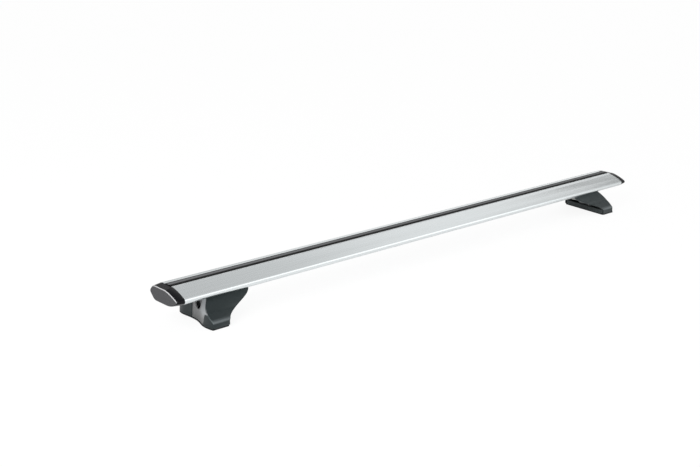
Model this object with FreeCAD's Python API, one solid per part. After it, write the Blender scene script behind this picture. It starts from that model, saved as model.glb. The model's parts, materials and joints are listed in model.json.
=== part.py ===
import FreeCAD, Part
import math
import os

# Roof rack crossbar: a hollow aluminium wing section with a plugged cap at each end,
# carried on two mirrored feet that clamp into the channel under the bar.
# Millimetres. X runs along the bar, +Z is up, Y = 0 is the middle of the feet and the
# blunt rear edge of the bar looks towards +Y. Z = 0 is the face that rests on the roof.

V = FreeCAD.Vector

# Bar section
bar_length = 1149.0       # aluminium only, between the end caps
bar_top = 72.3            # flat top above the roof
bar_depth = 29.1          # flat top to flat underside
crown_y = -9.5            # the flat top ends here and the camber starts
camber_rise = 1.9         # bulge of the camber above its chord
nose_y = -48.0            # where camber and belly would meet without the nose radius
nose_drop = 14.9          # the same point, below the flat top
nose_radius = 5.2
belly_y = -10.5           # the belly curve runs out into the flat underside here
belly_rise = 3.6          # bulge of the belly below its chord
rear_y = 37.3             # rear face
rear_drop = 10.1          # top corner of the rear face, below the flat top
rear_height = 5.9
shoulder_radius = 16.0
rear_radius = 6.8
heel_radius = 14.0
skin = 2.0                # wall of the extrusion
web = 2.0                 # walls of the two channels and the webs between them

# Channels of the extrusion: one on top for accessories, one below for the feet
channel_y = 3.0
slot_mouth = 15.0
slot_width = 22.0
slot_height = 8.5
slot_lip = 2.4
rail_mouth = 10.6
rail_width = 20.0
rail_height = 7.5
rail_lip = 2.4

# Rubber strip that closes the top channel
strip_crown = 1.2         # stands this far above the bar
strip_crown_width = 9.0
strip_flange = 2.2
strip_side_gap = 0.6      # each side, between its flange and the channel walls
strip_leg = 1.8
strip_leg_spread = 12.0

# End caps
cap_length = 15.5
cap_taper = 1.75
cap_wall = 2.5
cap_edge = 1.2            # bevel round the end face
plug_length = 18.0
plug_gap = 0.25
plug_wall = 2.0

# Foot outline. Foot x is counted inwards from the front outboard corner of its sole.
foot_inset = 57.7         # that corner, inwards from the end face of the cap
foot_half_depth = 56.4    # sole, front and rear of the middle
skirt_height = 12.4
skirt_radius = 4.0
waist_y = 38.0            # corner where the skirt's ramp turns up to the bar
waist_z = 25.8
waist_radius = 30.0
crest_y = 18.5            # covers run up to here, inside the bar's outline
crest_z = 48.6
skirt_lean = 1.3          # outboard face leans in by this over the skirt
waist_lean = 2.4          # and by this up to the waist
crest_x = 17.0            # outboard face at the crest
crest_bow = 0.12          # part of the lean above the waist that the face bows out by, midway
cover_wall = 2.6
cover_corner = 1.2        # bevel between the covers' front and their outboard side
bar_clearance = 0.4       # covers to bar
seam = 0.3                # gap between neighbouring pieces of one foot

# Outboard edge of the sole, as (y, foot x)
sole_edge = [(-56.4, 0.3), (-41.0, -1.8), (-26.0, -0.6), (-10.0, 4.4), (6.0, 7.2),
             (24.0, 7.3), (41.0, 6.2), (56.4, 10.0)]
# Inboard rims of the covers, as (foot x, z), from the skirt up to the bar
front_rim = [(34.2, 10.0), (36.6, 13.6), (44.3, 18.6), (62.3, 25.3), (82.3, 33.1),
             (93.3, 39.2), (99.6, 48.0)]
rear_rim = [(24.6, 10.0), (27.0, 13.6), (36.0, 18.6), (56.0, 25.3), (79.0, 33.1),
            (92.0, 39.2), (99.6, 48.0)]

# Sole, base and roof pad
pad_thickness = 2.2
base_top = 11.6
base_inboard_front = 35.6
base_inboard_rear = 24.6
base_corner = 5.0
base_edge = 1.2           # bevel along the top
fix_x = 19.3
fix_y = -29.0
fix_bore_radius = 4.25
pad_hole_radius = 8.0
base_screw_x = (19.0, 26.0)
base_screw_y = (8.0, -10.0)
base_screw_radius = 2.5
base_screw_head_radius = 4.4
base_screw_head = 4.0
base_screw_bite = 4.0
screw_gap = 0.1

# Support casting between base and bar
support_plate = 5.0
support_wall = 5.0
wall_room = 2.0           # extra lean of the wall, clear of the side panel
support_front = -19.0
support_rear = 15.5
saddle_end = 94.0
saddle_thickness = 6.0
saddle_front = -9.5
gusset = 4.0
gusset_foot_x = 22.0      # inboard edge of the gussets: at the foot plate, midway, at the saddle
gusset_mid_x = 37.0
gusset_mid_z = 29.0
gusset_tip_x = 80.3
slide_gap = 0.1           # foot to bar, where the foot slides
key_height = 1.8
key_width = 10.2
key_start = 30.0
key_end = 90.0

# Clamp bolt, washer and channel nut
bolt_x = 60.3
bolt_radius = 4.0
bolt_bore_radius = 4.5
bolt_head = 6.5
bolt_flats = 13.0
washer_radius = 8.0
washer_thickness = 1.6
nut_length = 34.0
nut_width = 19.0
nut_thickness = 5.5
thread_gap = 0.05
bolt_past_nut = 1.0

# Side panel with the lock hole
panel_recess = 0.5
panel_wall = 2.6
panel_top_z = 43.0
panel_front_top = -19.8
panel_front_waist = -34.8
panel_front_foot = -26.6
panel_waist_z = 23.6
panel_rear_top = 15.0
panel_rear_foot = 16.2
panel_reach = 30.0        # the seams beside the panel are cut this far inwards

# Lock
lock_y = -2.0
lock_z = 31.0
lock_hole_width = 20.6
lock_hole_height = 21.0
lock_case_x = 15.6
lock_case_flange = 2.5
lock_case_radius = 7.0
lock_case_length = 15.0
lock_boss_wall = 2.6
lock_boss_length = 8.0
barrel_radius = 5.5
barrel_fit = 0.05
barrel_recess = 0.6
key_slot_width = 1.4
key_slot_height = 6.4
key_slot_depth = 6.0
cam_gap = 0.3
cam_thickness = 2.6
cam_width = 5.0
cam_reach = 8.8

# Catch arm of the front cover, held by the cam
arm_thickness = 2.0
arm_width = 4.0
arm_gap = 0.4
arm_lip = 2.5
arm_lip_height = 3.0
cover_rib_x = (42.3, 70.3)
cover_rib = 2.0

# Worked out from the values above
overall_length = bar_length + 2 * cap_length
bar_bottom = bar_top - bar_depth
wide = 4 * foot_half_depth   # reaches past the foot in every direction


def line_wire(points):
    """Closed wire of straight edges through the points."""
    return Part.makePolygon(points + [points[0]])


def yz_face(pairs, x=0.0):
    return Part.Face(line_wire([V(x, y, z) for y, z in pairs]))


def yz_rectangle(y_low, y_high, z_low, z_high):
    return yz_face([(y_low, z_low), (y_high, z_low), (y_high, z_high), (y_low, z_high)])


def box(x_range, y_range, z_range):
    size = [high - low for low, high in (x_range, y_range, z_range)]
    return Part.makeBox(*size, V(x_range[0], y_range[0], z_range[0]))


def along_x(face, x_low, x_high):
    """Prism of a single face that lies in the plane x = 0."""
    moved = face.Faces[0].copy()
    moved.translate(V(x_low, 0, 0))
    return moved.extrude(V(x_high - x_low, 0, 0))


def bulge_circle(start, end, rise):
    """Centre and radius of the arc from start to end that stands off its chord by rise."""
    chord = end - start
    outward = V(0, chord.z, -chord.y).normalize()
    radius = chord.Length ** 2 / (8 * rise) + rise / 2
    return (start + end) * 0.5 - outward * (radius - rise), radius


def arc_on_circle(centre, radius, start, end):
    """Shorter arc from start to end on the circle about centre."""
    middle = centre + ((start + end) * 0.5 - centre).normalize() * radius
    return Part.Arc(start, middle, end).toShape()


def nose_arcs(crown, nose, belly):
    """Camber, nose and belly of the section as three arcs that run smoothly into each other."""
    camber_centre, camber_radius = bulge_circle(crown, nose, camber_rise)
    belly_centre, belly_radius = bulge_circle(nose, belly, belly_rise)
    between = belly_centre - camber_centre
    reach = camber_radius - nose_radius
    along = (reach ** 2 - (belly_radius - nose_radius) ** 2 + between.Length ** 2)
    along = along / (2 * between.Length)
    across = math.sqrt(reach ** 2 - along ** 2)
    step = V(0, between.y, between.z).normalize()
    sides = [camber_centre + step * along + V(0, -step.z, step.y) * side * across for side in (-1, 1)]
    nose_centre = min(sides, key=lambda point: point.y)
    high = camber_centre + (nose_centre - camber_centre).normalize() * camber_radius
    low = belly_centre + (nose_centre - belly_centre).normalize() * belly_radius
    return [arc_on_circle(camber_centre, camber_radius, crown, high),
            arc_on_circle(nose_centre, nose_radius, high, low),
            arc_on_circle(belly_centre, belly_radius, low, belly)]


def rounded_yz_face(face, radii):
    """The face with the corners named in radii, {(y, z): radius}, rounded."""
    prism = face.extrude(V(10, 0, 0))
    for (y, z), radius in radii.items():
        corner = [edge for edge in prism.Edges
                  if edge.BoundBox.XLength > 9 and edge.distToShape(Part.Vertex(5, y, z))[0] < 0.01]
        prism = prism.makeFillet(radius, corner)
    return min(prism.Faces, key=lambda side: side.CenterOfMass.x)


def bar_outline():
    """Outer outline of the wing section, in the plane x = 0."""
    crown = V(0, crown_y, bar_top)
    nose = V(0, nose_y, bar_top - nose_drop)
    belly = V(0, belly_y, bar_bottom)
    rear_high = V(0, rear_y, bar_top - rear_drop)
    rear_low = V(0, rear_y, bar_top - rear_drop - rear_height)
    shoulder = V(0, rear_y - rear_drop, bar_top)
    heel = V(0, rear_y - (rear_low.z - bar_bottom), bar_bottom)
    edges = nose_arcs(crown, nose, belly)
    edges += [Part.makeLine(belly, heel), Part.makeLine(heel, rear_low)]
    edges += [Part.makeLine(rear_low, rear_high), Part.makeLine(rear_high, shoulder)]
    edges += [Part.makeLine(shoulder, crown)]
    radii = {(shoulder.y, shoulder.z): shoulder_radius, (rear_high.y, rear_high.z): rear_radius,
             (rear_low.y, rear_low.z): rear_radius, (heel.y, heel.z): heel_radius}
    return rounded_yz_face(Part.Face(Part.Wire(edges)), radii)


def channel_cut(mouth, width, height, lip, face_z, inwards):
    """Void of a T-shaped channel whose mouth is at face_z; inwards is +1 up or -1 down."""
    lip_z = face_z + inwards * lip
    floor_z = lip_z + inwards * height
    neck = yz_rectangle(channel_y - mouth / 2, channel_y + mouth / 2,
                        *sorted((face_z - inwards * 5, lip_z)))
    cavity = yz_rectangle(channel_y - width / 2, channel_y + width / 2, *sorted((lip_z, floor_z)))
    return neck, cavity


def bar_section(outline):
    """Wing section with its two channels, and the closed chambers inside it."""
    slot_floor = bar_top - slot_lip - slot_height - web
    rail_roof = bar_bottom + rail_lip + rail_height + web
    slot_box = yz_rectangle(channel_y - slot_width / 2 - web, channel_y + slot_width / 2 + web,
                            slot_floor, bar_top)
    rail_box = yz_rectangle(channel_y - rail_width / 2 - web, channel_y + rail_width / 2 + web,
                            bar_bottom, rail_roof)
    chambers = outline.makeOffset2D(-skin).cut([slot_box, rail_box])
    for side in (-1, 1):
        web_y = channel_y + side * rail_width / 2
        web_range = sorted((web_y, web_y + side * web))
        chambers = chambers.cut(yz_rectangle(*web_range, rail_roof - 1, slot_floor + 1))
    slot = channel_cut(slot_mouth, slot_width, slot_height, slot_lip, bar_top, -1)
    rail = channel_cut(rail_mouth, rail_width, rail_height, rail_lip, bar_bottom, 1)
    section = outline.cut([chambers, *slot, *rail])
    return section, chambers


def top_strip():
    """Rubber strip: crowned band, flange under the lips and two legs to the channel floor."""
    lip_z = bar_top - slot_lip
    floor_z = lip_z - slot_height
    flange_half = slot_width / 2 - strip_side_gap
    leg_out = strip_leg_spread / 2
    leg_in = leg_out - strip_leg
    mouth_half = slot_mouth / 2
    half = [(strip_crown_width / 2, bar_top + strip_crown), (mouth_half, bar_top),
            (mouth_half, lip_z), (flange_half, lip_z), (flange_half, lip_z - strip_flange),
            (leg_out, lip_z - strip_flange), (leg_out, floor_z), (leg_in, floor_z),
            (leg_in, lip_z - strip_flange)]
    outline = [(channel_y + y, z) for y, z in half]
    outline += [(channel_y - y, z) for y, z in reversed(half)]
    return along_x(yz_face(outline), -bar_length / 2, bar_length / 2)


def section_wire(outline, inset, x):
    """The section's outline moved inwards by inset, at x."""
    face = outline.makeOffset2D(-inset) if inset else outline.copy()
    wire = face.OuterWire
    wire.translate(V(x, 0, 0))
    return wire


def end_cap(outline, chambers):
    """Left cap: tapered hollow collar with a closed end, and plugs for the chambers."""
    joint_x = -bar_length / 2
    end_x = joint_x - cap_length
    rings = [section_wire(outline, 0, joint_x),
             section_wire(outline, cap_taper, end_x + cap_edge),
             section_wire(outline, cap_taper + cap_edge, end_x)]
    collar = Part.makeLoft(rings, True, True)
    hollow = outline.makeOffset2D(-(cap_taper + cap_wall))
    cap = collar.cut(along_x(hollow, end_x + cap_wall, joint_x))
    for chamber in chambers.Faces:
        beside_channels = abs(chamber.CenterOfMass.y - channel_y) > slot_width / 2
        if beside_channels:
            shell = chamber.makeOffset2D(-plug_gap).cut(chamber.makeOffset2D(-plug_gap - plug_wall))
            cap = cap.fuse(along_x(shell, joint_x - cap_wall, joint_x + plug_length))
    return cap.removeSplitter().Solids[0]


def side_solid(inset, hidden=False):
    """Everything inboard of the foot's leaning outboard face, moved inwards by inset.

    A hidden inner side is made of plain facets between the same points.
    """
    wires = []
    for z in (0.0, skirt_height, waist_z, (waist_z + crest_z) / 2, crest_z):
        points = [V(face_x(x, z) + inset, y, z) for y, x in sole_edge]
        curve = Part.BSplineCurve()
        curve.interpolate(points)
        edges = Part.makePolygon(points).Edges if hidden else [curve.toShape()]
        edges += Part.makePolygon([points[-1], V(wide, points[-1].y, z), V(wide, points[0].y, z),
                                   points[0]]).Edges
        wires.append(Part.Wire(edges))
    return Part.makeLoft(wires, True, hidden)


def face_x(sole_x, z):
    """Foot x of the outboard face at height z, above the point sole_x of the sole's edge."""
    if z <= skirt_height:
        return sole_x + skirt_lean * z / skirt_height
    if z <= waist_z:
        return sole_x + skirt_lean + (waist_lean - skirt_lean) * (z - skirt_height) / (waist_z - skirt_height)
    part = (z - waist_z) / (crest_z - waist_z)
    part = part - 4 * crest_bow * part * (1 - part)
    waist_x = sole_x + waist_lean
    return waist_x + (crest_x - waist_x) * part


def foot_profile():
    """Outline of the foot seen from the side, in the plane x = 0."""
    half = [(foot_half_depth, 0.0), (foot_half_depth, skirt_height), (waist_y, waist_z),
            (crest_y, crest_z)]
    outline = half + [(-y, z) for y, z in reversed(half)]
    radii = {}
    for side in (-1, 1):
        radii[(side * foot_half_depth, skirt_height)] = skirt_radius
        radii[(side * waist_y, waist_z)] = waist_radius
    return rounded_yz_face(yz_face(outline), radii)


def curve_prism(pairs, corners, y_low, y_high):
    """Prism along Y of the area between a smooth curve and the corner points, all (x, z)."""
    points = [V(x, y_low, z) for x, z in pairs]
    curve = Part.BSplineCurve()
    curve.interpolate(points)
    path = [points[-1]] + [V(x, y_low, z) for x, z in corners] + [points[0]]
    edges = [curve.toShape()] + Part.makePolygon(path).Edges
    return Part.Face(Part.Wire(edges)).extrude(V(0, y_high - y_low, 0))


def rim_prism(rim):
    """Everything outboard of a cover's inboard rim."""
    low_x, low_z = rim[0]
    high_x, high_z = rim[-1]
    corners = [(high_x, crest_z + 5), (-wide, crest_z + 5), (-wide, -5), (low_x, -5)]
    return curve_prism(rim, corners, -wide, wide)


def panel_zone(grow, x_low, x_high):
    """Prism along X of the side panel's outline, grown by a seam."""
    outline = [(panel_front_foot - grow, pad_thickness + seam - grow),
               (panel_rear_foot + grow, pad_thickness + seam - grow),
               (panel_rear_top + grow, panel_top_z + grow),
               (panel_front_top - grow, panel_top_z + grow),
               (panel_front_waist - grow, panel_waist_z)]
    return along_x(yz_face(outline), x_low, x_high)


def obround(width, height, x_low, x_high):
    """Upright slot shape along X whose lower round is centred on the lock."""
    radius = width / 2
    top_z = lock_z + height - width
    low = Part.makeCylinder(radius, x_high - x_low, V(x_low, lock_y, lock_z), V(1, 0, 0))
    high = Part.makeCylinder(radius, x_high - x_low, V(x_low, lock_y, top_z), V(1, 0, 0))
    middle = box((x_low, x_high), (lock_y - radius, lock_y + radius), (lock_z, top_z))
    return low.fuse([high, middle]).removeSplitter()


def covers(profile, bar_keep_out):
    """Front and rear cover: moulded shells, open below, inboard and towards the bar."""
    block = along_x(profile, -50, wide).common(side_solid(0)).common(rim_prism(front_rim))
    front_edges = [edge for edge in block.Edges if is_front_corner(edge)]
    block = block.makeChamfer(cover_corner, front_edges)
    inner = along_x(profile.makeOffset2D(-cover_wall), -50, wide)
    inner = inner.common(side_solid(cover_wall, hidden=True))
    lift = box((-wide, wide), (-wide, wide), (pad_thickness + seam, wide))
    block = block.common(lift).cut(bar_keep_out)
    shell = block.cut([inner, open_foot(foot_half_depth - cover_wall, cover_wall),
                       panel_zone(seam, -50, panel_reach)])
    front = shell.common(box((-wide, wide), (-wide, support_front), (-1, wide)))
    rear = shell.common(box((-wide, wide), (min(panel_rear_foot, panel_rear_top), wide), (-1, wide)))
    rear = rear.common(rim_prism(rear_rim))
    for x in cover_rib_x:
        front_rib = box((x, x + cover_rib), (-wide, support_front - seam), (base_top + 1, wide))
        rear_rib = box((x, x + cover_rib), (support_rear + seam, wide), (base_top + 1, wide))
        front = front.fuse(front_rib.common(block))
        rear = rear.fuse(rear_rib.common(block).common(rim_prism(rear_rim)))
    arm_x, arm_top, lip_y = catch_place()
    arm = box((arm_x, arm_x + arm_width), (-wide, lip_y + arm_lip),
              (arm_top - arm_thickness, arm_top)).common(block)
    lip = box((arm_x, arm_x + arm_width), (lip_y, lip_y + arm_lip), (arm_top, arm_top + arm_lip_height))
    front = front.fuse([arm, lip])
    return front.removeSplitter(), rear.removeSplitter()


def open_foot(half_depth, inset):
    """The room inside the skirt, from below the roof up to where the skirt ends."""
    room = box((-50, wide), (-half_depth, half_depth), (-1, skirt_height - skirt_radius))
    return room.common(side_solid(inset, hidden=True))


def catch_place():
    """Where the catch arm lies: its outboard side, its top and its lip, clear of the cam."""
    arm_x = lock_case_x + lock_case_length + cam_gap
    arm_top = lock_z - cam_reach - arm_gap
    lip_y = lock_y + cam_width / 2 + arm_gap
    return arm_x, arm_top, lip_y


def is_front_corner(edge):
    """True for the edges between the foot's outboard face and its front."""
    middle = edge.valueAt((edge.FirstParameter + edge.LastParameter) / 2)
    box_of = edge.BoundBox
    low_side = box_of.ZLength > 1 and box_of.XLength < 20
    return low_side and middle.y < support_front and middle.x < crest_x


def roof_pad():
    plan = base_plan(seam, foot_half_depth - seam, 0.0, pad_thickness)
    hole = Part.makeCylinder(pad_hole_radius, pad_thickness, V(fix_x, fix_y, 0))
    return plan.common(side_solid(seam)).cut(hole)


def base_plan(inset, half_depth, z_low, z_high):
    """Tapered plan of the sole, from far outboard to its inboard edge."""
    front_x = base_inboard_front - inset
    rear_x = base_inboard_rear - inset
    plan = Part.Face(line_wire([V(-wide, -half_depth, z_low), V(front_x, -half_depth, z_low),
                                V(rear_x, half_depth, z_low), V(-wide, half_depth, z_low)]))
    solid = plan.extrude(V(0, 0, z_high - z_low))
    uprights = [edge for edge in solid.Edges
                if edge.BoundBox.ZLength > 0.9 * (z_high - z_low) and edge.CenterOfMass.x > 0]
    return solid.makeFillet(base_corner, uprights)


def base(profile):
    """Sole plate with the vehicle's fixing bore and the two screws up into the support."""
    half_depth = foot_half_depth - cover_wall - seam
    plate = base_plan(0.0, half_depth, pad_thickness, base_top)
    top_edges = [edge for edge in plate.Edges
                 if edge.BoundBox.ZLength < 0.01 and abs(edge.CenterOfMass.z - base_top) < 0.01
                 and edge.BoundBox.XMin > 0]
    plate = plate.makeChamfer(base_edge, top_edges)
    face = panel_recess + panel_wall + seam
    under_covers = along_x(profile.makeOffset2D(-(cover_wall + seam)), -50, wide)
    plate = plate.common(side_solid(face, hidden=True))
    plate = plate.common(under_covers.fuse(open_foot(half_depth, face)))
    bore = Part.makeCylinder(fix_bore_radius, wide, V(fix_x, fix_y, -1))
    return plate.cut([bore, *[screw_hole(x, y, z_high=base_top) for x, y in base_screw_places()]])


def base_screw_places():
    return list(zip(base_screw_x, base_screw_y))


def screw_hole(x, y, z_high):
    """Stepped hole for a base screw, up to z_high."""
    shank = Part.makeCylinder(base_screw_radius + screw_gap, z_high, V(x, y, 0))
    head = Part.makeCylinder(base_screw_head_radius + screw_gap,
                             pad_thickness + base_screw_head + screw_gap, V(x, y, 0))
    return shank.fuse(head)


def base_screws():
    """Two cap screws from below, heads sunk in the base above the pad."""
    screws = []
    top_z = base_top + base_screw_bite
    for x, y in base_screw_places():
        head = Part.makeCylinder(base_screw_head_radius, base_screw_head, V(x, y, pad_thickness))
        shank = Part.makeCylinder(base_screw_radius, top_z - pad_thickness, V(x, y, pad_thickness))
        socket = hexagon(base_screw_radius * 1.6, 2.0, x, y, pad_thickness)
        screws.append(head.fuse(shank).cut(socket).removeSplitter())
    return Part.makeCompound(screws)


def hexagon(across_flats, height, x, y, z):
    radius = across_flats / math.sqrt(3)
    corners = [V(x + radius * math.cos(math.radians(60 * i)),
                 y + radius * math.sin(math.radians(60 * i)), z) for i in range(6)]
    return Part.Face(line_wire(corners)).extrude(V(0, 0, height))


def support_prism(side, y_low, y_high, depth):
    """Prism along Y that reaches inboard by depth from the slanted line side, as (x, z)."""
    (low_x, low_z), (high_x, high_z) = side
    corners = [V(low_x, y_low, low_z), V(high_x, y_low, high_z), V(high_x + depth, y_low, high_z),
               V(low_x + depth, y_low, low_z)]
    return Part.Face(line_wire(corners)).extrude(V(0, y_high - y_low, 0))


def gusset_at(y_low):
    """Web from the foot plate up to the saddle, hollowed along an arc on its inboard edge."""
    saddle_top = bar_bottom - slide_gap
    foot_z = base_top + support_plate
    tip_z = saddle_top - saddle_thickness
    arc = Part.Arc(V(gusset_foot_x, y_low, foot_z), V(gusset_mid_x, y_low, gusset_mid_z),
                   V(gusset_tip_x, y_low, tip_z))
    path = [V(gusset_tip_x, y_low, tip_z), V(gusset_tip_x, y_low, saddle_top), V(0, y_low, saddle_top),
            V(0, y_low, base_top), V(gusset_foot_x, y_low, base_top), V(gusset_foot_x, y_low, foot_z)]
    edges = [arc.toShape()] + Part.makePolygon(path).Edges
    return Part.Face(Part.Wire(edges)).extrude(V(0, gusset, 0))


def support():
    """Casting: foot plate, leaning outboard wall, saddle under the bar and two gussets."""
    saddle_top = bar_bottom - slide_gap
    deepest = max(x for y, x in sole_edge if support_front < y < support_rear)
    wall_low = face_x(deepest, base_top)
    wall_high = face_x(deepest, bar_bottom) + wall_room
    face = panel_recess + panel_wall + seam
    side = [(wall_low + face, base_top), (wall_high + face, saddle_top)]
    wall = support_prism(side, support_front, support_rear, support_wall)
    plate = support_prism(side, support_front, support_rear, wide)
    plate = plate.common(box((0, gusset_foot_x + support_wall), (support_front, support_rear),
                             (base_top, base_top + support_plate)))
    inboard = support_prism(side, support_front, support_rear, wide)
    saddle = box((0, saddle_end), (saddle_front, support_rear),
                 (saddle_top - saddle_thickness, saddle_top)).common(inboard)
    key = box((key_start, key_end), (channel_y - key_width / 2, channel_y + key_width / 2),
              (saddle_top - 1, saddle_top + key_height))
    gussets = gusset_at(support_front).fuse(gusset_at(support_rear - gusset)).common(inboard)
    shelf = box((0, gusset_tip_x), (support_front, saddle_front),
                (saddle_top - saddle_thickness, saddle_top)).common(inboard)
    boss_radius = lock_case_radius + screw_gap + lock_boss_wall
    boss = Part.makeCylinder(boss_radius, lock_boss_length + lock_case_flange,
                             V(lock_case_x + lock_case_flange, lock_y, lock_z), V(1, 0, 0))
    body = wall.fuse([plate, saddle, key, gussets, shelf, boss])
    case_bore = Part.makeCylinder(lock_case_radius + screw_gap, wide, V(0, lock_y, lock_z), V(1, 0, 0))
    case_hole = obround(lock_hole_width + 2 * seam, lock_hole_height + 2 * seam,
                        -5, lock_case_x + lock_case_flange + screw_gap)
    bolt_bore = Part.makeCylinder(bolt_bore_radius, wide, V(bolt_x, channel_y, 0))
    threads = [Part.makeCylinder(base_screw_radius + thread_gap, base_top + base_screw_bite + 0.3,
                                 V(x, y, 0)) for x, y in base_screw_places()]
    return body.cut([case_bore, case_hole, bolt_bore, *threads]).removeSplitter()


def side_panel():
    """Grey band between the covers, with the hole to the lock."""
    inner = side_solid(panel_recess + panel_wall, hidden=True)
    skin_solid = side_solid(panel_recess).cut(inner)
    panel = skin_solid.common(panel_zone(0, -50, panel_reach))
    return panel.cut(obround(lock_hole_width, lock_hole_height, -50, panel_reach))


def lock_case():
    """Flanged sleeve that the barrel turns in."""
    flange = obround(lock_hole_width - 2 * screw_gap, lock_hole_height - 2 * screw_gap,
                     lock_case_x, lock_case_x + lock_case_flange)
    sleeve = Part.makeCylinder(lock_case_radius, lock_case_length,
                               V(lock_case_x, lock_y, lock_z), V(1, 0, 0))
    bore = Part.makeCylinder(barrel_radius + barrel_fit, wide, V(0, lock_y, lock_z), V(1, 0, 0))
    return flange.fuse(sleeve).cut(bore).removeSplitter()


def lock_barrel():
    """Barrel with its key slot, and the cam on its inner end pointing down."""
    start_x = lock_case_x + barrel_recess
    cam_x = lock_case_x + lock_case_length + cam_gap
    barrel = Part.makeCylinder(barrel_radius, cam_x - start_x, V(start_x, lock_y, lock_z), V(1, 0, 0))
    slot = box((start_x - 1, start_x + key_slot_depth),
               (lock_y - key_slot_width / 2, lock_y + key_slot_width / 2),
               (lock_z - key_slot_height / 2, lock_z + key_slot_height / 2))
    tip_z = lock_z - cam_reach + cam_width / 2
    hub = Part.makeCylinder(barrel_radius, cam_thickness, V(cam_x, lock_y, lock_z), V(1, 0, 0))
    tongue = box((cam_x, cam_x + cam_thickness), (lock_y - cam_width / 2, lock_y + cam_width / 2),
                 (tip_z, lock_z))
    tip = Part.makeCylinder(cam_width / 2, cam_thickness, V(cam_x, lock_y, tip_z), V(1, 0, 0))
    return barrel.cut(slot).fuse([hub, tongue, tip]).removeSplitter()


def clamp_bolt():
    """Hexagon bolt up through saddle and channel mouth into the channel nut."""
    seat_z = bar_bottom - slide_gap - saddle_thickness - washer_thickness
    tip_z = bar_bottom + rail_lip + slide_gap + nut_thickness + bolt_past_nut
    head = hexagon(bolt_flats, bolt_head, bolt_x, channel_y, seat_z - bolt_head)
    shank = Part.makeCylinder(bolt_radius, tip_z - seat_z, V(bolt_x, channel_y, seat_z))
    return head.fuse(shank).removeSplitter()


def clamp_washer():
    seat_z = bar_bottom - slide_gap - saddle_thickness - washer_thickness
    disc = Part.makeCylinder(washer_radius, washer_thickness, V(bolt_x, channel_y, seat_z))
    return disc.cut(Part.makeCylinder(bolt_bore_radius, wide, V(bolt_x, channel_y, 0)))


def channel_nut():
    """Steel plate in the lower channel, drawn down on its lips by the clamp bolt."""
    low_z = bar_bottom + rail_lip + slide_gap
    plate = box((bolt_x - nut_length / 2, bolt_x + nut_length / 2),
                (channel_y - nut_width / 2, channel_y + nut_width / 2),
                (low_z, low_z + nut_thickness))
    uprights = [edge for edge in plate.Edges if edge.BoundBox.ZLength > nut_thickness / 2]
    plate = plate.makeFillet(2.0, uprights)
    thread = Part.makeCylinder(bolt_radius + thread_gap, wide, V(bolt_x, channel_y, 0))
    return plate.cut(thread)


def foot(bar_keep_out):
    """All pieces of the left foot, by name, in foot coordinates."""
    profile = foot_profile()
    front_cover, rear_cover = covers(profile, bar_keep_out)
    return {"roof_pad": roof_pad(), "base": base(profile), "base_screws": base_screws(),
            "support": support(), "side_panel": side_panel(), "front_cover": front_cover,
            "rear_cover": rear_cover, "lock_case": lock_case(), "lock_barrel": lock_barrel(),
            "clamp_bolt": clamp_bolt(), "clamp_washer": clamp_washer(),
            "channel_nut": channel_nut()}


def build():
    outline = bar_outline()
    section, chambers = bar_section(outline)
    pieces = {"bar_extrusion": along_x(section, -bar_length / 2, bar_length / 2),
              "top_strip": top_strip()}
    cap = end_cap(outline, chambers)
    keep_out = along_x(outline.makeOffset2D(bar_clearance), -wide, wide)
    middle = V(0, 0, 0)
    across = V(1, 0, 0)
    pieces["left_end_cap"] = cap
    pieces["right_end_cap"] = cap.mirror(middle, across)
    for name, shape in foot(keep_out).items():
        shape.translate(V(foot_inset - overall_length / 2, 0, 0))
        pieces["left_" + name] = shape
        pieces["right_" + name] = shape.mirror(middle, across)
    return pieces


os.makedirs("parts", exist_ok=True)
for node, shape in build().items():
    shape.exportStep("parts/" + node + ".step")
    print(node, len(shape.Solids), round(shape.Volume / 1000, 2), "cm3", shape.isValid())
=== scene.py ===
import json
import math

import bpy
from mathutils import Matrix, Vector


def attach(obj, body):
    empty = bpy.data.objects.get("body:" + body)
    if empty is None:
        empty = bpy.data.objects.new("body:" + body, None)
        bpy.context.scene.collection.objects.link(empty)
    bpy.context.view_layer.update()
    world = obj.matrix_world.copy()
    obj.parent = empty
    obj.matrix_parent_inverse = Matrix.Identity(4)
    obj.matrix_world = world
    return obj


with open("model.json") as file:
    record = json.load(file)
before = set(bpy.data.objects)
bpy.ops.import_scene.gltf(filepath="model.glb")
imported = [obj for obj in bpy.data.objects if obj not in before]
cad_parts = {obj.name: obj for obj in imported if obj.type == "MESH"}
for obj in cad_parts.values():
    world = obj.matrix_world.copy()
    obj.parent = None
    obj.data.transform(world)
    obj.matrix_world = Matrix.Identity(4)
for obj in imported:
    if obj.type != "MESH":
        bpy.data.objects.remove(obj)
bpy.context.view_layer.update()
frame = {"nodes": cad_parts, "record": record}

# Roof rack crossbar. Metres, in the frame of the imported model: X along the bar, +Z up.
# A pair of places is where a colour or finish starts and where it is complete. Pairs named
# front or rear are along Y, and those named height, foot, top or upper are along Z.

# Bright lip of the bar in front of the top strip, shaded like paint by this share
lip_front = (-0.0075, -0.0060)
lip_rear = (-0.0040, -0.0044)
lip_height = (0.0715, 0.0720)
lip_paint = 0.75

# Crown of the top strip, painted a lit grey, between flanks painted near-black as shade
crown_front = (0.0010, 0.0018)
crown_rear = (0.0098, 0.0090)

# Upper rim of the end caps, painted light grey as a highlight
rim_highlight_height = (0.056, 0.060)
rim_highlight_rear = (0.030, 0.024)

# Side face of the front cover, coloured like the grey band beside it
band_height = (0.0215, 0.0235)
band_front = (0.0, -0.001)
band_dark = (0.40, 0.41, 0.42)
band_light = (0.46, 0.47, 0.48)

# Painted highlight: a paler colour on the rounded edge above the skirt of the covers
skirt_foot = (0.0095, 0.0120)
skirt_top = (0.0165, 0.0140)
skirt_highlight_dark = (0.100, 0.112, 0.118)
skirt_highlight_light = (0.135, 0.150, 0.158)
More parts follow.
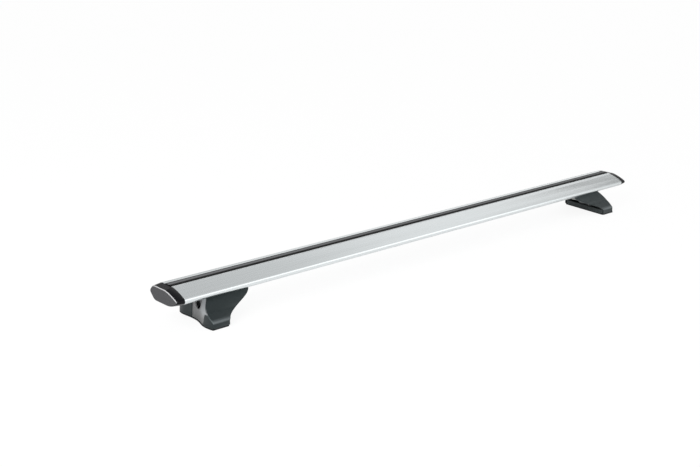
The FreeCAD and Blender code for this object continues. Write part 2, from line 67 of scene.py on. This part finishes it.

# Grey band: painted shade, a darker colour over most of its foot, and a painted highlight, a lighter
# colour in its upper front corner
panel_shade_foot = (0.015, 0.003)
panel_shade_share = 0.8
panel_shade_colour = (0.15, 0.15, 0.15)
panel_highlight_front = (-0.006, -0.020)
panel_highlight_upper = (0.012, 0.022)
panel_highlight_colour = (0.42, 0.43, 0.44)

# Rubber band over the top strip, as (y, z)
strip_lip_section = [(-0.00445, 0.07232), (-0.00440, 0.07330), (-0.00400, 0.07352),
                     (0.0116, 0.07352), (0.0129, 0.07310), (0.0137, 0.07234)]
strip_lip_end = 0.5745

# Width of the rounded edges by kind of piece, and the angles in degrees: under the first one
# neighbouring faces count as flat, over the second one an edge is rounded
edge_rounding = {
    "bar_extrusion": 0.0002,
    "end_cap": 0.0005,
    "front_cover": 0.0006,
    "rear_cover": 0.0006,
    "side_panel": 0.0003,
    "base": 0.0004,
    "support": 0.0006,
    "lock_case": 0.0003,
    "lock_barrel": 0.0002,
    "clamp_bolt": 0.0003,
    "channel_nut": 0.0003,
}
weld_distance = 0.000002
flat_angle = 0.2
sharp_angle = 28

# Camera: degrees above the ground and round Z, place, lens in millimetres
camera_elevation = 16.85
camera_turn = -41.42
camera_place = (-1.5248, -1.5158, 0.6949)
camera_lens = 59.78

# Floor: it glows by one share to the camera and by another in reflections
floor_half = 6.0
floor_depth = 0.0002
floor_grey = 0.86
floor_glow = 1.05
floor_seen = 0.86
floor_mirrored = 0.45

# Greys of the studio by direction: by its Z in front of the bar and by its X behind it.
# The turn is the direction's Y where the front ends and where the back is complete.
studio_strength = 1.4
studio_front = [(0.0, 1.0), (0.45, 1.0), (0.62, 0.52), (1.0, 0.40)]
studio_back = [(0.0, 0.36), (0.45, 0.45), (0.56, 0.56), (0.68, 0.625),
               (0.78, 0.62), (0.86, 0.52), (1.0, 0.44)]
studio_turn = (-0.43, -0.20)


# Shader helpers

class Nodes:
    """Short calls for the nodes of one tree."""

    def __init__(self, tree):
        self.tree = tree

    def node(self, kind, **values):
        """New node; a value goes to the input of that name, or else to the setting."""
        node = self.tree.nodes.new(kind)
        for key, value in values.items():
            if key in node.inputs:
                node.inputs[key].default_value = value
            else:
                setattr(node, key, value)
        return node

    def link(self, output, target):
        self.tree.links.new(output, target)

    def part_of(self, vector, axis):
        """The vector's X, Y or Z."""
        split = self.node("ShaderNodeSeparateXYZ")
        self.link(vector, split.inputs["Vector"])
        return split.outputs[axis]

    def ramp(self, value, low, high, low_at=0.3, high_at=0.7):
        """Value mapped from low_at..high_at to low..high."""
        ranged = self.node("ShaderNodeMapRange")
        ranged.inputs["From Min"].default_value = low_at
        ranged.inputs["From Max"].default_value = high_at
        ranged.inputs["To Min"].default_value = low
        ranged.inputs["To Max"].default_value = high
        self.link(value, ranged.inputs["Value"])
        return ranged.outputs["Result"]

    def mix(self, value, first, second):
        """Colour first where value is 0 and second where it is 1."""
        mix = self.node("ShaderNodeMix", data_type="RGBA")
        self.link(value, mix.inputs["Factor"])
        ends = [socket for socket in mix.inputs if socket.type == "RGBA"]
        for end, colour in zip(ends, (first, second)):
            if isinstance(colour, tuple):
                end.default_value = (*colour, 1.0)
            else:
                self.link(colour, end)
        return next(socket for socket in mix.outputs if socket.type == "RGBA")

    def math(self, operation, first, second):
        node = self.node("ShaderNodeMath", operation=operation)
        for index, value in enumerate((first, second)):
            if isinstance(value, (int, float)):
                node.inputs[index].default_value = value
            else:
                self.link(value, node.inputs[index])
        return node.outputs["Value"]

    def product(self, first, *others):
        for other in others:
            first = self.math("MULTIPLY", first, other)
        return first

    def mix_shaders(self, value, first, second, target):
        """Shader first where value is 0 and second where it is 1, linked to the target."""
        mix = self.node("ShaderNodeMixShader")
        self.link(value, mix.inputs["Fac"])
        self.link(first, mix.inputs[1])
        self.link(second, mix.inputs[2])
        self.link(mix.outputs["Shader"], target)


class Material(Nodes):
    """A material with a Principled shader, textured by the place on the object."""

    def __init__(self, name):
        self.material = bpy.data.materials.new(name)
        self.material.use_nodes = True
        super().__init__(self.material.node_tree)
        self.shader = self.tree.nodes["Principled BSDF"]

    def set(self, **values):
        for key, value in values.items():
            self.shader.inputs[key.replace("_", " ")].default_value = value

    def feed(self, **outputs):
        """Link outputs to the shader's inputs."""
        for key, output in outputs.items():
            self.link(output, self.shader.inputs[key.replace("_", " ")])

    def place(self, scale=(1.0, 1.0, 1.0)):
        """Object coordinates, stretched by scale."""
        coordinates = self.node("ShaderNodeTexCoord")
        mapping = self.node("ShaderNodeMapping")
        mapping.inputs["Scale"].default_value = scale
        self.link(coordinates.outputs["Object"], mapping.inputs["Vector"])
        return mapping.outputs["Vector"]

    def noise(self, scale, stretch=(1.0, 1.0, 1.0), detail=3.0, roughness=0.55):
        texture = self.node("ShaderNodeTexNoise", Scale=scale, Detail=detail, Roughness=roughness)
        self.link(self.place(stretch), texture.inputs["Vector"])
        return texture.outputs["Fac"]

    def cells(self, scale):
        texture = self.node("ShaderNodeTexVoronoi", Scale=scale)
        self.link(self.place(), texture.inputs["Vector"])
        return texture.outputs["Distance"]

    def bump(self, *layers):
        """Chained bumps, each (height, strength, distance)."""
        last = None
        for height, strength, distance in layers:
            node = self.node("ShaderNodeBump", Strength=strength, Distance=distance)
            self.link(height, node.inputs["Height"])
            if last:
                self.link(last, node.inputs["Normal"])
            last = node.outputs["Normal"]
        self.feed(Normal=last)

    def facing(self, axis, low, high):
        """0 to 1 as the surface's own normal turns along the axis, either way."""
        geometry = self.node("ShaderNodeNewGeometry")
        size = self.math("ABSOLUTE", self.part_of(geometry.outputs["True Normal"], axis), 0.0)
        return self.ramp(size, 0.0, 1.0, low, high)

    def along(self, axis, low, high, share=1.0):
        """0 to share as the place on the object goes from low to high along the axis."""
        return self.ramp(self.part_of(self.place(), axis), 0.0, share, low, high)

    def edges(self, low, high):
        """0 to 1 on convex edges."""
        geometry = self.node("ShaderNodeNewGeometry")
        return self.ramp(geometry.outputs["Pointiness"], 0.0, 1.0, low, high)


# Materials

def aluminium():
    """Anodised extrusion: die lines along X, faint mottling, slightly uneven sheen."""
    m = Material("bar_aluminium")
    lines = m.noise(1.0, (1.6, 900.0, 900.0), detail=4.0, roughness=0.7)
    broad = m.noise(1.0, (3.0, 120.0, 120.0), detail=2.0)
    mottle = m.noise(2600.0, detail=2.0)
    dark = (0.775, 0.815, 0.825)
    light = (0.87, 0.91, 0.92)
    colour = m.mix(m.ramp(mottle, 0.2, 0.8), m.mix(lines, dark, light), m.mix(broad, dark, light))
    lip = m.product(m.along("Y", *lip_front), m.along("Y", *lip_rear), m.along("Z", *lip_height))
    m.feed(Base_Color=colour,
           Roughness=m.math("ADD", m.ramp(lines, 0.22, 0.30), m.ramp(broad, -0.02, 0.03)),
           Metallic=m.math("SUBTRACT", 1.0, m.math("MULTIPLY", lip, lip_paint)))
    m.bump((lines, 0.10, 0.00006), (mottle, 0.05, 0.00002))
    return m.material


def cover_zones(m, flow, colour):
    """Front cover's side face like the grey band, and a painted highlight on the edge above the
    skirt.
    """
    side = m.product(m.facing("X", 0.55, 0.75), m.along("Z", *band_height), m.along("Y", *band_front))
    colour = m.mix(side, colour, m.mix(flow, band_dark, band_light))
    # painted highlight on the rounded edge above the skirt
    skirt_highlight_mask = m.product(m.along("Z", *skirt_foot), m.along("Z", *skirt_top), m.facing("Y", 0.45, 0.65))
    return m.mix(skirt_highlight_mask, colour, m.mix(flow, skirt_highlight_dark, skirt_highlight_light))


def panel_zones(m, flow, colour):
    """Grey band with painted shade at its foot and a painted highlight in its upper front corner."""
    # painted shade at the foot of the grey band, then a painted highlight in its upper front corner
    colour = m.mix(m.along("Z", *panel_shade_foot, panel_shade_share), colour, panel_shade_colour)
    highlight_corner = m.product(m.along("Y", *panel_highlight_front), m.along("Z", *panel_highlight_upper))
    return m.mix(highlight_corner, colour, panel_highlight_colour)


def moulded(name, dark, light, roughness, grain, strength, edge_wear_and_highlight=0.0, zones=None):
    """Moulded plastic: fine spark-eroded grain, faint flow marks, paler edges that are partly wear
    and partly painted highlight.
    """
    m = Material(name)
    flow = m.noise(34.0, detail=3.0)
    fine = m.noise(grain, detail=3.0, roughness=0.65)
    cells = m.cells(grain * 0.55)
    colour = m.mix(m.ramp(flow, 0.0, 1.0), dark, light)
    if zones:
        colour = zones(m, flow, colour)
    # paler convex edges: slight wear, and a strong painted highlight where the share is large
    if edge_wear_and_highlight:
        worn_and_highlit_edges = m.product(m.edges(0.52, 0.60), m.ramp(fine, 0.2, 1.0))
        colour = m.mix(worn_and_highlit_edges, colour, tuple(min(1.0, part + edge_wear_and_highlight) for part in light))
    m.feed(Base_Color=colour, Roughness=m.ramp(fine, *roughness))
    m.bump((cells, strength, 0.00008), (fine, strength * 0.7, 0.00005))
    m.set(Specular_Tint=(0.86, 0.98, 1.0, 1.0))
    return m.material


def cap_plastic():
    """End caps: glossy black collar, a greyer, coarsely textured end face and a painted highlight on
    the upper rim.
    """
    m = Material("cap_plastic")
    flow = m.noise(40.0)
    grain = m.noise(3200.0, detail=3.0)
    cells = m.cells(1500.0)
    end = m.facing("X", 0.80, 0.97)
    collar = m.mix(flow, (0.003, 0.003, 0.004), (0.006, 0.006, 0.008))
    face = m.mix(grain, (0.060, 0.060, 0.064), (0.105, 0.105, 0.110))
    # painted highlight: light grey on the upper rim of the cap
    painted_rim_highlight = m.mix(flow, (0.55, 0.55, 0.56), (0.60, 0.60, 0.61))
    rim = m.product(m.facing("X", 0.30, 0.45), m.facing("X", 0.95, 0.85),
                    m.along("Z", *rim_highlight_height), m.along("Y", *rim_highlight_rear))
    m.feed(Base_Color=m.mix(rim, m.mix(end, collar, face), painted_rim_highlight),
           Roughness=m.ramp(end, 0.24, 0.55, 0.0, 1.0))
    m.bump((m.product(cells, end), 0.5, 0.0001), (grain, 0.04, 0.00003))
    m.set(IOR=1.28, Specular_IOR_Level=0.3)
    return m.material


def strip_rubber():
    """Extruded rubber: fine lines along the bar, pore texture, a crown painted a lit grey between
    flanks painted near-black as shade.
    """
    m = Material("strip_rubber")
    lines = m.noise(1.0, (4.0, 1400.0, 1400.0), detail=3.0)
    pores = m.noise(1900.0, detail=3.0)
    # painted light on the crown and painted shade on the flanks of the strip
    painted_lit_crown = m.mix(m.ramp(pores, 0.0, 1.0), (0.13, 0.132, 0.138), (0.17, 0.172, 0.178))
    painted_shade_flank = m.mix(pores, (0.003, 0.003, 0.003), (0.006, 0.006, 0.006))
    middle = m.product(m.along("Y", *crown_front), m.along("Y", *crown_rear))
    m.feed(Base_Color=m.mix(middle, painted_shade_flank, painted_lit_crown), Roughness=m.ramp(lines, 0.62, 0.78))
    m.set(Specular_IOR_Level=0.15)
    m.bump((lines, 0.25, 0.00008), (pores, 0.2, 0.00005))
    return m.material


def zinc_steel():
    """Zinc-plated steel: crystalline patches and turning marks."""
    m = Material("zinc_steel")
    patches = m.ramp(m.cells(700.0), 0.0, 1.0, 0.1, 0.7)
    fine = m.noise(2200.0, detail=4.0)
    m.feed(Base_Color=m.mix(patches, (0.22, 0.22, 0.21), (0.34, 0.34, 0.32)),
           Roughness=m.ramp(fine, 0.26, 0.44))
    m.set(Metallic=1.0)
    m.bump((fine, 0.12, 0.00004))
    return m.material


def lock_metal():
    """Dull nickel barrel with brushed rings and scratches by the key way."""
    m = Material("lock_metal")
    scratches = m.noise(1.0, (300.0, 2600.0, 500.0), detail=3.0)
    m.feed(Base_Color=m.mix(scratches, (0.16, 0.16, 0.165), (0.30, 0.30, 0.31)),
           Roughness=m.ramp(scratches, 0.28, 0.5))
    m.set(Metallic=1.0)
    m.bump((scratches, 0.2, 0.00004))
    return m.material


def support_casting():
    """Powder coat over a casting: orange peel and small pits."""
    m = Material("support_casting")
    peel = m.noise(520.0, detail=2.0)
    pits = m.cells(900.0)
    m.feed(Base_Color=m.mix(peel, (0.016, 0.017, 0.018), (0.028, 0.029, 0.031)),
           Roughness=m.ramp(peel, 0.34, 0.46))
    m.bump((peel, 0.3, 0.0002), (pits, 0.15, 0.0001))
    return m.material


materials = {
    "bar_aluminium": aluminium(),
    "strip_rubber": strip_rubber(),
    "cap_plastic": cap_plastic(),
    "pad_rubber": moulded("pad_rubber", (0.008, 0.008, 0.008), (0.015, 0.015, 0.016),
                          roughness=(0.72, 0.88), grain=1100.0, strength=0.5),
    "base_plastic": moulded("base_plastic", (0.020, 0.023, 0.024), (0.030, 0.034, 0.035),
                            roughness=(0.42, 0.56), grain=1800.0, strength=0.25, edge_wear_and_highlight=0.02),
    "support_casting": support_casting(),
    # its strong pale edges are painted highlights
    "panel_grey": moulded("panel_grey", (0.235, 0.232, 0.232), (0.275, 0.272, 0.272),
                          roughness=(0.40, 0.52), grain=2600.0, strength=0.14, edge_wear_and_highlight=0.25,
                          zones=panel_zones),
    "cover_plastic": moulded("cover_plastic", (0.006, 0.010, 0.011), (0.010, 0.015, 0.016),
                             roughness=(0.34, 0.46), grain=2400.0, strength=0.16, edge_wear_and_highlight=0.02,
                             zones=cover_zones),
    "lock_plastic": moulded("lock_plastic", (0.006, 0.006, 0.006), (0.011, 0.011, 0.012),
                            roughness=(0.38, 0.50), grain=2400.0, strength=0.15),
    "lock_metal": lock_metal(),
    "zinc_steel": zinc_steel(),
}
slot_of = {piece["node"]: piece["material_slot"] for piece in frame["record"]["subparts"]}


# Finish and soft edges of the carried-over pieces

def soften(obj, width):
    """Rounded edges where two faces meet sharply."""
    weld = obj.modifiers.new("weld", "WELD")
    weld.merge_threshold = weld_distance
    flat = obj.modifiers.new("flat", "DECIMATE")
    flat.decimate_type = "DISSOLVE"
    flat.angle_limit = math.radians(flat_angle)
    bevel = obj.modifiers.new("bevel", "BEVEL")
    bevel.width = width
    bevel.segments = 2
    bevel.limit_method = "ANGLE"
    bevel.angle_limit = math.radians(sharp_angle)
    bevel.harden_normals = True


for name, obj in frame["nodes"].items():
    obj.data.materials.clear()
    obj.data.materials.append(materials[slot_of[name]])
    kind = name.removeprefix("left_").removeprefix("right_")
    if kind in edge_rounding:
        soften(obj, edge_rounding[kind])


# Piece added for the picture

def prism(name, section, x_low, x_high):
    """Closed prism along X of the (y, z) section."""
    count = len(section)
    corners = [(x, y, z) for x in (x_low, x_high) for y, z in section]
    faces = [tuple(range(count)), tuple(reversed(range(count, 2 * count)))]
    faces += [(i, i + count, (i + 1) % count + count, (i + 1) % count) for i in range(count)]
    mesh = bpy.data.meshes.new(name)
    mesh.from_pydata(corners, [], faces)
    piece = bpy.data.objects.new(name, mesh)
    bpy.context.scene.collection.objects.link(piece)
    return piece


strip_lip = prism("strip_lip", strip_lip_section, -strip_lip_end, strip_lip_end)
strip_lip.data.materials.append(materials["strip_rubber"])
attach(strip_lip, "bar")


# Camera, light and floor

def look():
    """Camera at the photograph's viewing angle."""
    data = bpy.data.cameras.new("camera")
    data.lens = camera_lens
    data.sensor_width = 36.0
    data.clip_start = 0.01
    camera = bpy.data.objects.new("camera", data)
    camera.rotation_euler = (math.radians(90.0 - camera_elevation), 0.0, math.radians(camera_turn))
    camera.location = camera_place
    bpy.context.scene.collection.objects.link(camera)
    bpy.context.scene.camera = camera


def area_light(name, place, target, side, watts):
    """Square lamp that faces the target."""
    data = bpy.data.lights.new(name, "AREA")
    data.shape = "SQUARE"
    data.size = side
    data.energy = watts
    lamp = bpy.data.objects.new(name, data)
    lamp.location = place
    lamp.rotation_euler = (Vector(target) - Vector(place)).to_track_quat("-Z", "Y").to_euler()
    bpy.context.scene.collection.objects.link(lamp)


def stage_floor():
    """Pale floor, lighter in the picture than in reflections."""
    mesh = bpy.data.meshes.new("floor")
    corners = [(-floor_half, -floor_half, 0.0), (floor_half, -floor_half, 0.0),
               (floor_half, floor_half, 0.0), (-floor_half, floor_half, 0.0)]
    mesh.from_pydata(corners, [], [(0, 1, 2, 3)])
    floor = bpy.data.objects.new("floor", mesh)
    floor.location = (0.0, 0.0, -floor_depth)
    bpy.context.scene.collection.objects.link(floor)
    m = Material("floor")
    m.set(Base_Color=(floor_grey, floor_grey, floor_grey, 1.0), Roughness=0.9)
    glow = m.node("ShaderNodeEmission", Strength=floor_glow)
    path = m.node("ShaderNodeLightPath")
    seen = m.math("MULTIPLY", path.outputs["Is Camera Ray"], floor_seen)
    mirrored = m.math("MULTIPLY", path.outputs["Is Glossy Ray"], floor_mirrored)
    m.mix_shaders(m.math("MAXIMUM", seen, mirrored), m.shader.outputs["BSDF"],
                  glow.outputs["Emission"], m.tree.nodes["Material Output"].inputs["Surface"])
    mesh.materials.append(m.material)


def grey_ramp(nodes, value, stops):
    """Colour ramp of greys, each stop (place, grey)."""
    ramp = nodes.node("ShaderNodeValToRGB")
    elements = ramp.color_ramp.elements
    while len(elements) < len(stops):
        elements.new(0.5)
    for element, (position, grey) in zip(elements, stops):
        element.position = position
        element.color = (grey, grey, grey, 1.0)
    nodes.link(value, ramp.inputs["Fac"])
    return ramp.outputs["Color"]


def studio_world():
    """White where the camera looks past the part, and a soft studio everywhere else."""
    world = bpy.data.worlds.new("studio")
    world.use_nodes = True
    bpy.context.scene.world = world
    nodes = Nodes(world.node_tree)
    direction = nodes.node("ShaderNodeTexCoord").outputs["Generated"]
    front = grey_ramp(nodes, nodes.part_of(direction, "Z"), studio_front)
    back = grey_ramp(nodes, nodes.part_of(direction, "X"), studio_back)
    turn = nodes.ramp(nodes.part_of(direction, "Y"), 0.0, 1.0, *studio_turn)
    studio = nodes.tree.nodes["Background"]
    studio.inputs["Strength"].default_value = studio_strength
    nodes.link(nodes.mix(turn, front, back), studio.inputs["Color"])
    white = nodes.node("ShaderNodeBackground", Color=(1.0, 1.0, 1.0, 1.0), Strength=1.0)
    seen = nodes.node("ShaderNodeLightPath").outputs["Is Camera Ray"]
    nodes.mix_shaders(seen, studio.outputs["Background"], white.outputs["Background"],
                      nodes.tree.nodes["World Output"].inputs["Surface"])


look()
stage_floor()
studio_world()
area_light("key", place=(-2.2, -0.6, 1.6), target=(-0.3, 0.0, 0.05), side=1.2, watts=24.0)

bpy.context.scene.view_settings.view_transform = "Standard"
